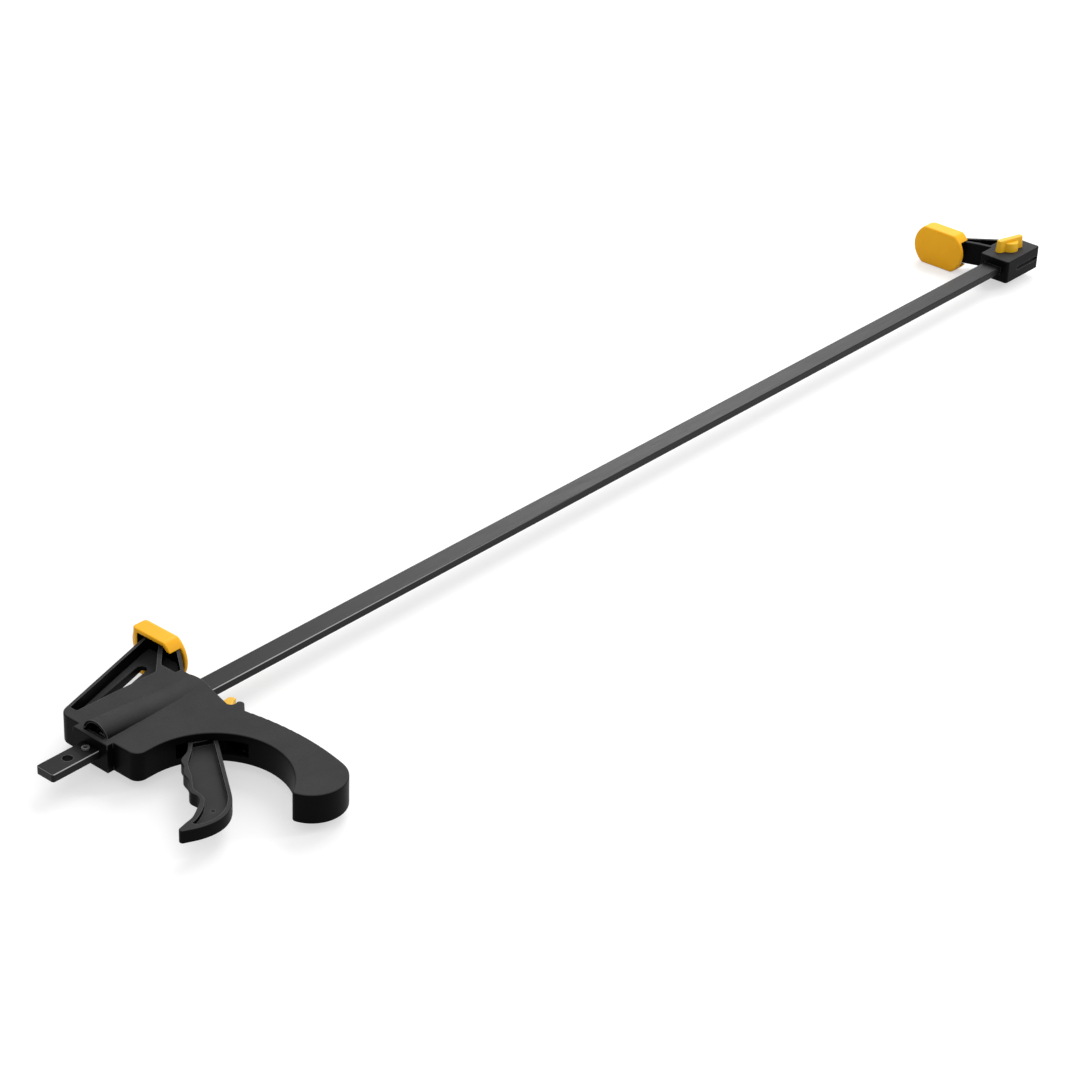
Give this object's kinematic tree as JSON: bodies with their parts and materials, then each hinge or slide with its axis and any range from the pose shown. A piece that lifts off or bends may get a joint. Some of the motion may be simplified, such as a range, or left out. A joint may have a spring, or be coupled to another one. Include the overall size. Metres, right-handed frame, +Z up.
{
  "type": "quick release bar clamp",
  "caption": "One-handed quick release bar clamp with a pistol grip, trigger, sliding jaw, soft cup pads and a pin-locked fixed jaw on a flat steel bar.",
  "frame": {"origin": "centre of the hole in the tail end of the bar, at the middle of the bar's thickness", "axes": "+X along the bar towards the fixed jaw, +Y from the bar towards the jaw tips, +Z up through the hole, with the clamp lying on its side"},
  "size_m": [1.1068, 0.2325, 0.0376],
  "materials": {
    "bar_steel": "blackened, satin, fine lengthwise grain",
    "pin_steel": "dark oiled steel",
    "plate_steel": "stamped, oiled",
    "spring_steel": "oiled dark drawn wire",
    "screw_steel": "black zinc",
    "housing_plastic": "fine grained glass-filled nylon",
    "yellow_plastic": "smooth moulded",
    "pad_yellow": "soft satin",
    "bush_plastic": "plain moulded"
  },
  "bodies": {
    "bar_and_fixed_jaw": {"bar": "bar_steel", "bar_stop_pin": "pin_steel", "fixed_jaw": "housing_plastic", "fixed_jaw_pad": "pad_yellow", "lock_bush": "bush_plastic", "lock_spring": "spring_steel"},
    "housing": {"upper_shell": "housing_plastic", "lower_shell": "housing_plastic", "shell_screws": "screw_steel", "trigger_pin": "pin_steel", "moving_jaw_pad": "pad_yellow", "drive_spring": "spring_steel", "brake_spring": "spring_steel"},
    "trigger_body": {"trigger": "housing_plastic"},
    "drive_plates": {"drive_plate_front": "plate_steel", "drive_plate_rear": "plate_steel"},
    "brake": {"brake_plate": "plate_steel", "release_lever": "yellow_plastic"},
    "lock": {"lock_knob": "yellow_plastic", "lock_pin": "pin_steel"}
  },
  "joints": [
    {"name": "housing_slide", "type": "slide", "parent": "bar_and_fixed_jaw", "child": "housing", "axis": [1, 0, 0], "range_m": [-0.001, 0.9]},
    {"name": "trigger_pivot", "type": "hinge", "parent": "housing", "child": "trigger_body", "pos_m": [0.084, -0.028, 0], "axis": [0, 0, 1], "range_deg": [0, 20], "stiffness_Nm_per_rad": 0.4, "springref_deg": -8.59, "deforming": ["drive_spring"]},
    {"name": "drive_slide", "type": "slide", "parent": "housing", "child": "drive_plates", "axis": [1, 0, 0], "range_m": [-0.0051, 0]},
    {"name": "release", "type": "hinge", "parent": "housing", "child": "brake", "pos_m": [0.098, 0.0145, 0], "axis": [0, 0, 1], "range_deg": [-7, 0], "stiffness_Nm_per_rad": 0.3, "springref_deg": 8.59, "deforming": ["brake_spring"]},
    {"name": "lock_pull", "type": "slide", "parent": "bar_and_fixed_jaw", "child": "lock", "axis": [0, 0, 1], "range_m": [0, 0.0046], "stiffness_N_per_m": 600, "springref_m": -0.002, "deforming": ["lock_spring"]}
  ],
  "couplings": [
    {"joint": "drive_slide", "follows": "trigger_pivot", "m_per_rad": -0.0145}
  ]
}
